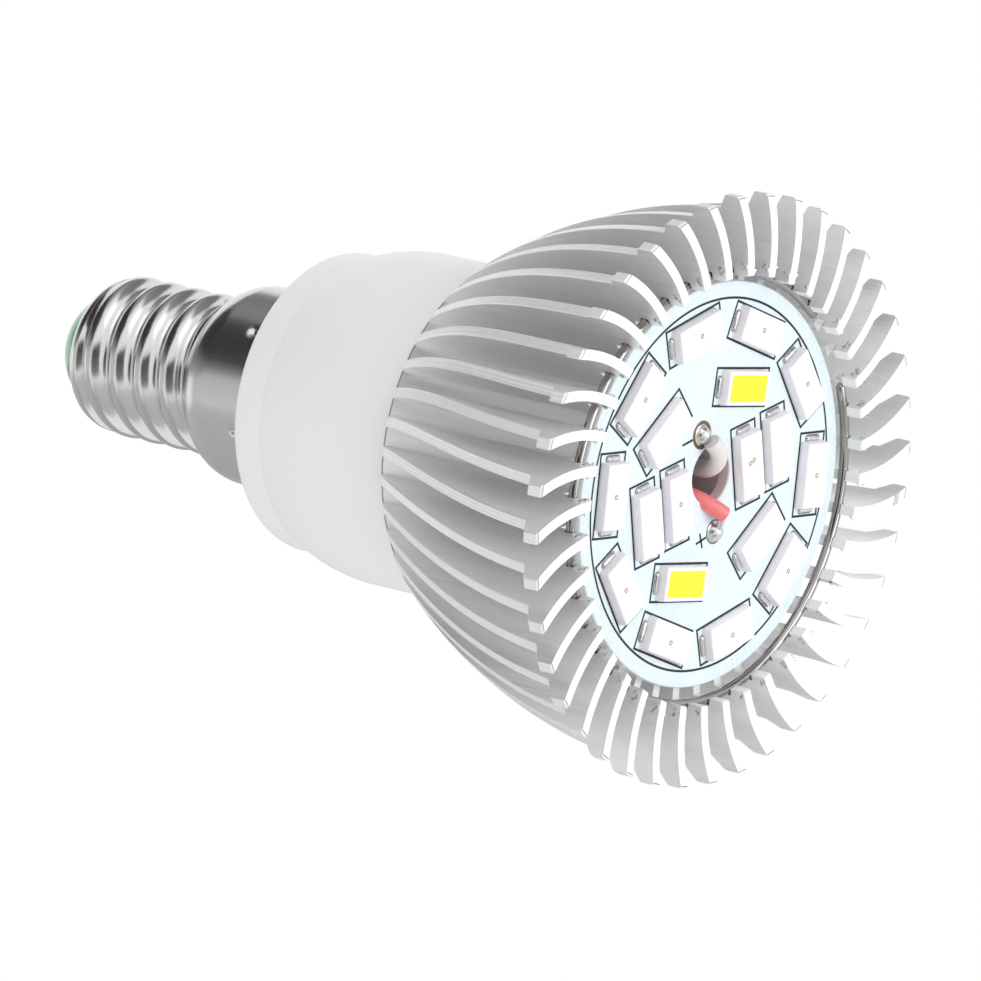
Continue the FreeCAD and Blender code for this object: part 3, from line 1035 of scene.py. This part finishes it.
@dataclass
class ScrewCap:
    """Screw shell with its rolled thread, the insulator and the centre contact."""

    crest_r: float = 6.945
    root_r: float = 6.145
    pitch: float = 2.822
    crest_roll: float = 1.25
    root_roll: float = 0.394
    crest_z: float = 65.32
    crest_at: float = 8.0
    run_in: Pair = (52.7, 54.5)
    run_out: Pair = (65.6, 66.4)
    foot_z: float = 43.3
    foot_curl: Pair = (0.25, 0.12)
    dents: Pairs = ((-52.2, 46.95), (-112.5, 46.7))
    dent_r: float = 0.34
    dent_depth: float = 0.3
    skirt_r: float = 8.62
    skirt_z: float = 50.35
    skirt_steps: int = 36
    shoulder_arc: float = -4.2
    corner: Pair = (6.495, 53.95)
    corner_h: float = 0.15
    thread_z: float = 54.3
    thread_steps: int = 110
    tip_z: float = 65.9
    tip_start: Pair = (6.695, 66.0)
    tip_arc: float = -2.0
    end_z: float = 67.9
    end_r: float = 5.0
    end_curl: Pair = (4.8, 67.8)
    turns: int = 300
    insulator_foot: Pairs = ((5.0, 67.5), (5.12, 68.1))
    insulator_top_z: float = 70.9
    insulator_arc: float = -5.0
    rivet_r: float = 0.8
    contact_r: float = 2.3
    contact_foot: Pair = (0.2, 0.15)
    contact_top_z: float = 71.3
    contact_arc: float = -4.4

    def thread(self, degrees: float, z: float) -> float:
        """Radius of the rolled thread.

        Args:
            degrees: Bearing about the axis.
            z: Height.

        Returns:
            The radius, between root and crest.
        """
        lift = z - self.crest_z - self.pitch * (degrees - self.crest_at) / 360
        u = abs(math.remainder(lift, self.pitch))
        crest, root = self.crest_roll, self.root_roll
        if u <= self.pitch / 2 * crest / (crest + root):
            return self.crest_r - crest + math.sqrt(crest * crest - u * u)
        rest = self.pitch / 2 - u
        return self.root_r + root - math.sqrt(root * root - rest * rest)

    def radius(self, degrees: float, z: float, plain: float) -> float:
        """Radius of the shell, where the thread runs out at both ends and dents hold the skirt.

        Args:
            degrees: Bearing about the axis.
            z: Height.
            plain: Radius of the turned form at that height.

        Returns:
            The radius.
        """
        (low, full), (last, gone) = self.run_in, self.run_out
        start = min(max((z - low) / (full - low), 0.0), 1.0)
        stop = min(max((gone - z) / (gone - last), 0.0), 1.0)
        share = start * start * (3 - 2 * start) * stop
        dent = 0.0
        for bearing, height in self.dents:
            around = self.skirt_r * math.radians(math.remainder(degrees - bearing, 360))
            dent += self.dent_depth * math.exp(-(around ** 2 + (z - height) ** 2) / self.dent_r ** 2)
        return plain + (self.thread(degrees, z) - plain) * share - dent

    def shell(self) -> None:
        """Make the shell, its form from the foot of its skirt to the tip."""
        skirt, foot = (self.skirt_r, self.skirt_z), self.foot_z + self.foot_curl[1]
        profile: Profile = [(self.skirt_r - self.foot_curl[0], self.foot_z)]
        profile += [(self.skirt_r, foot + (self.skirt_z - foot) * k / self.skirt_steps)
                    for k in range(self.skirt_steps + 1)]
        profile += arc(skirt, self.corner, self.shoulder_arc, steps=24)
        profile += [(self.corner[0], self.corner[1] + self.corner_h)]
        profile += [(self.crest_r, self.thread_z + (self.tip_z - self.thread_z) * k / self.thread_steps)
                    for k in range(self.thread_steps + 1)]
        profile += arc(self.tip_start, (self.end_r, self.end_z), self.tip_arc, steps=12)
        profile += [self.end_curl]
        bearings = [-360 * i / self.turns for i in range(self.turns)]
        piece = Piece("screw_shell_rolled")
        piece.grid([[polar(self.radius(d, z, r), d, z) for d in bearings]
                    for r, z in reversed(profile)], "nickel", closed=True)
        piece.make("screw_shell", slot="nickel", sharp=60.0)

    def insulator(self) -> None:
        """Make the insulator's dome."""
        top = self.insulator_top_z
        profile = [*self.insulator_foot,
                   *arc(self.insulator_foot[-1], (self.contact_r, top), self.insulator_arc, steps=14),
                   (self.rivet_r, top)]
        piece = Piece("cap_insulator_dome")
        piece.lathe(profile[::-1], "insulator_green", steps=120)
        piece.make("cap_insulator", slot="insulator_green")

    def contact(self) -> None:
        """Make the riveted centre contact."""
        inset, rise = self.contact_foot
        foot = (self.contact_r, self.insulator_top_z + rise)
        profile = [(self.contact_r - inset, self.insulator_top_z), foot,
                   *arc(foot, (0.01, self.contact_top_z), self.contact_arc, steps=10)]
        piece = Piece("centre_contact_button")
        piece.lathe(profile[::-1], "tin", steps=80)
        piece.make("centre_contact", slot="tin")

    def build(self) -> None:
        """Make the cap's three pieces."""
        self.shell()
        self.insulator()
        self.contact()


@dataclass
class Driver:
    """Pieces inside the neck, which keep their solids and get their finishes."""

    dress: tuple[tuple[str, ...], ...] = (
        ("driver_laminate", "driver_board"),
        ("sleeve_black", "input_capacitor", "output_capacitor"),
        ("moulded_dark", "inductor", "bridge_rectifier", "driver_chip"),
        ("dipped_yellow", "film_capacitor", "fuse_resistor"),
        ("lead_red", "live_lead"), ("lead_white", "neutral_lead"))

    def build(self) -> None:
        """Give every solid of the driver its finish."""
        for finish, *nodes in self.dress:
            for slot in (s for n in nodes for s in frame["nodes"][n].material_slots):
                slot.material = Finishes.get(finish)


@dataclass(frozen=True)
class Card:
    """A matt card that polished metal mirrors, placed by angles from the camera, in metres.

    Its shade goes from the first grey at the bottom to the second one at full, which is 0 at
    its middle and 1 at its top.
    """

    name: str
    across: float
    above: float
    distance: float
    width: float
    height: float
    greys: Pair
    full: float = 1.0
    cloud_mm: float = 90.0
    cloud_share: float = 0.3

    def paper(self) -> bpy.types.Material:
        """Make the card's graded grey.

        Returns:
            The material.
        """
        sheet = NodeSheet(self.name + "_paper")
        half = self.height / 2
        middle = sheet.add("TexCoord").outputs["Object"]
        rise = sheet.add("SeparateXYZ", {0: middle}).outputs[1]
        cloud = sheet.noise(sheet.millimetres(Grain.MOULDED, even(self.cloud_mm)))
        level = sheet.maths("ADD", rise, sheet.maths("MULTIPLY", cloud, half * self.cloud_share))
        shade = sheet.spread(level, *self.greys, (-half, half * self.full))
        grey = sheet.add("CombineXYZ", {0: shade, 1: shade, 2: shade}).outputs[0]
        sheet.shade(Base_Color=grey, Roughness=0.9)
        return sheet.material


@dataclass
class Studio:
    """Camera of the photograph, soft lamps, white surroundings and a pale floor."""

    eye: Point = (0.10412, -0.71565, -0.53285)
    euler: Point = (163.57573, 50.49232, 77.71003)
    lens: float = 398.57
    middle: Point = (0.0, 0.0, 0.03)
    floor_half: float = 0.6
    floor_cloud_mm: float = 60.0
    fill: float = 0.80
    cards: tuple[Card, ...] = (
        Card("left_card", -100, 34, 0.65, 0.90, 0.62, (0.56, 0.02), -0.1),
        Card("side_card", -88, 2, 0.72, 0.60, 0.36, (0.72, 0.60)),
        Card("front_card", -22, -8, 0.70, 0.90, 0.52, (0.24, 0.0)),
        Card("table_card", -15, -60, 0.74, 1.10, 0.60, (0.55, 0.65)),
        Card("roof_card", 125, 68, 0.75, 1.00, 0.60, (0.16, 0.30)),
        Card("low_card", -112, -40, 0.65, 0.80, 0.80, (0.40, 0.60)),
        Card("rear_card", -160, -30, 0.80, 0.80, 0.80, (0.42, 0.55)),
        Card("far_card", -142, 66, 0.75, 0.90, 0.55, (0.08, 0.50)))

    def turned(self) -> Euler:
        """The camera's turn, in radians."""
        return Euler([math.radians(a) for a in self.euler])

    def camera(self) -> None:
        """Set up the camera."""
        data = bpy.data.cameras.new("camera")
        data.lens = self.lens
        data.clip_start, data.clip_end = 0.05, 10.0
        camera = place_object("camera", data)
        camera.location = self.eye
        camera.rotation_euler = self.turned()
        bpy.context.scene.camera = camera

    def toward(self, across: float, above: float, distance: float) -> Vector:
        """Place seen from the bulb at angles from the line to the camera.

        Args:
            across: Degrees to the right of the camera.
            above: Degrees above it.
            distance: Distance from the bulb in metres.

        Returns:
            The place.
        """
        a, e = math.radians(across), math.radians(above)
        seen = Vector((math.sin(a) * math.cos(e), math.sin(e), math.cos(a) * math.cos(e)))
        return Vector(self.middle) + self.turned().to_matrix() @ seen * distance

    def lamp(self, name: str, place: Vector, watts: float, size: float, mirrored: bool) -> None:
        """Add a square soft lamp that looks at the bulb.

        Args:
            name: Name of the lamp.
            place: Where it stands, in metres.
            watts: Its power.
            size: Its side in metres.
            mirrored: Whether polished metal mirrors it.
        """
        data = bpy.data.lights.new(name, "AREA")
        data.energy = watts
        data.size = size
        lamp = place_object(name, data)
        lamp.location = place
        aim = Vector(self.middle) - place
        lamp.rotation_euler = aim.to_track_quat("-Z", "Y").to_euler()
        lamp.visible_glossy = mirrored

    def lamps(self) -> None:
        """Add the lamps: two on the camera's side, one above the floor and one below the bulb."""
        self.lamp("key_lamp", self.toward(15, 48, 0.6), 0.25, 0.38, True)
        self.lamp("side_lamp", self.toward(62, 5, 0.6), 1.3, 0.4, True)
        self.lamp("top_lamp", Vector((0.25, 0.30, 0.6)), 0.6, 0.5, False)
        self.lamp("table_lamp", self.toward(-10, -62, 0.6), 0.45, 0.5, False)

    @staticmethod
    def sheet(name: str, half: Pair, material: bpy.types.Material,
              unseen: Sequence[str]) -> bpy.types.Object:
        """Make a flat sheet for the stage.

        Args:
            name: Name of the sheet.
            half: Half its width and half its height, in metres.
            material: Its material.
            unseen: Kinds of ray that pass it.

        Returns:
            The sheet, level at the origin.
        """
        w, h = half
        mesh = bpy.data.meshes.new(name)
        mesh.from_pydata([(-w, -h, 0), (w, -h, 0), (w, h, 0), (-w, h, 0)], [], [(0, 1, 2, 3)])
        mesh.materials.append(material)
        sheet = place_object(name, mesh)
        for ray in unseen:
            setattr(sheet, "visible_" + ray, False)
        return sheet

    def stand(self, card: Card) -> None:
        """Stand a card with its face to the bulb, where only polished metal sees it.

        Args:
            card: The card.
        """
        sheet = self.sheet(card.name, (card.width / 2, card.height / 2), card.paper(),
                           ("camera", "diffuse", "transmission", "shadow"))
        place = self.toward(card.across, card.above, card.distance)
        back = (place - Vector(self.middle)).normalized()
        right = (self.turned().to_matrix() @ Vector((0, 1, 0))).cross(back).normalized()
        axes = Matrix((right, back.cross(right), back)).transposed().to_4x4()
        sheet.matrix_world = Matrix.Translation(place) @ axes

    def surroundings(self) -> None:
        """White to the eye and in reflections, and an even fill otherwise."""
        world = bpy.data.worlds.new("studio")
        bpy.context.scene.world = world
        world.use_nodes = True
        nodes = Nodes(world.node_tree)
        rays = nodes.add("LightPath").outputs
        seen = nodes.maths("MAXIMUM", rays["Is Camera Ray"], rays["Is Glossy Ray"])
        seen = nodes.maths("MAXIMUM", seen, rays["Is Transmission Ray"])
        back = nodes.tree.nodes["Background"]
        nodes.feed(back, "Strength", nodes.spread(seen, self.fill, 1.0, (0.0, 1.0)))
        nodes.feed(back, "Color", (1, 1, 1, 1))

    def floor(self) -> None:
        """Lay the pale floor, which is seen from above only and holds back no light."""
        sheet = NodeSheet("floor_paper")
        cloud = sheet.noise(sheet.millimetres(Grain.MOULDED, even(self.floor_cloud_mm)))
        sheet.shade(Base_Color=sheet.spread(cloud, even(0.90), even(0.93)), Roughness=0.8)
        behind = sheet.add("NewGeometry").outputs["Backfacing"]
        clear = sheet.add("BsdfTransparent").outputs[0]
        both = sheet.add("MixShader", {0: behind, 1: sheet.shader.outputs[0], 2: clear})
        sheet.feed(sheet.output, "Surface", both.outputs[0])
        self.sheet("floor", (self.floor_half, self.floor_half), sheet.material,
                   ("diffuse", "glossy", "transmission", "shadow"))

    def build(self) -> None:
        """Set up the whole studio."""
        self.camera()
        self.lamps()
        for card in self.cards:
            self.stand(card)
        self.surroundings()
        self.floor()
        bpy.context.scene.view_settings.view_transform = "Standard"


def main() -> None:
    """Build every sub-assembly in order."""
    logging.basicConfig(level=logging.INFO, format="%(message)s")
    Studio().build()
    HeatSink().build()
    SnapRing().build()
    LedBoard().build()
    Lead("red_lead_bent", "red_lead", "lead_red", 0.69,
         ((-1.3, 0.0, 14.4), (-1.2, -0.3, 7.0), (-0.7, -0.9, 4.0), (-0.9, -0.7, 2.8),
          (-1.45, 0.35, 1.6), (-2.08, 1.47, 1.2))).build()
    Lead("white_lead_bent", "white_lead", "lead_white", 0.74,
         ((1.3, 0.0, 14.4), (1.3, 0.6, 7.0), (1.2, 1.2, 4.4), (1.4, 0.6, 2.6),
          (2.4, 0.0, 1.3), (3.3, -0.5, 1.1), (4.0, -1.4, 1.35))).build()
    SolderJoint("plus_joint", "plus_solder", (-3.72, 1.67), wire=(-2.1, 1.47, 1.25)).build()
    SolderJoint("minus_joint", "minus_solder", (4.44, -1.83), flux=True).build()
    Neck().build()
    ScrewCap().build()
    Driver().build()


if __name__ == "__main__":
    main()
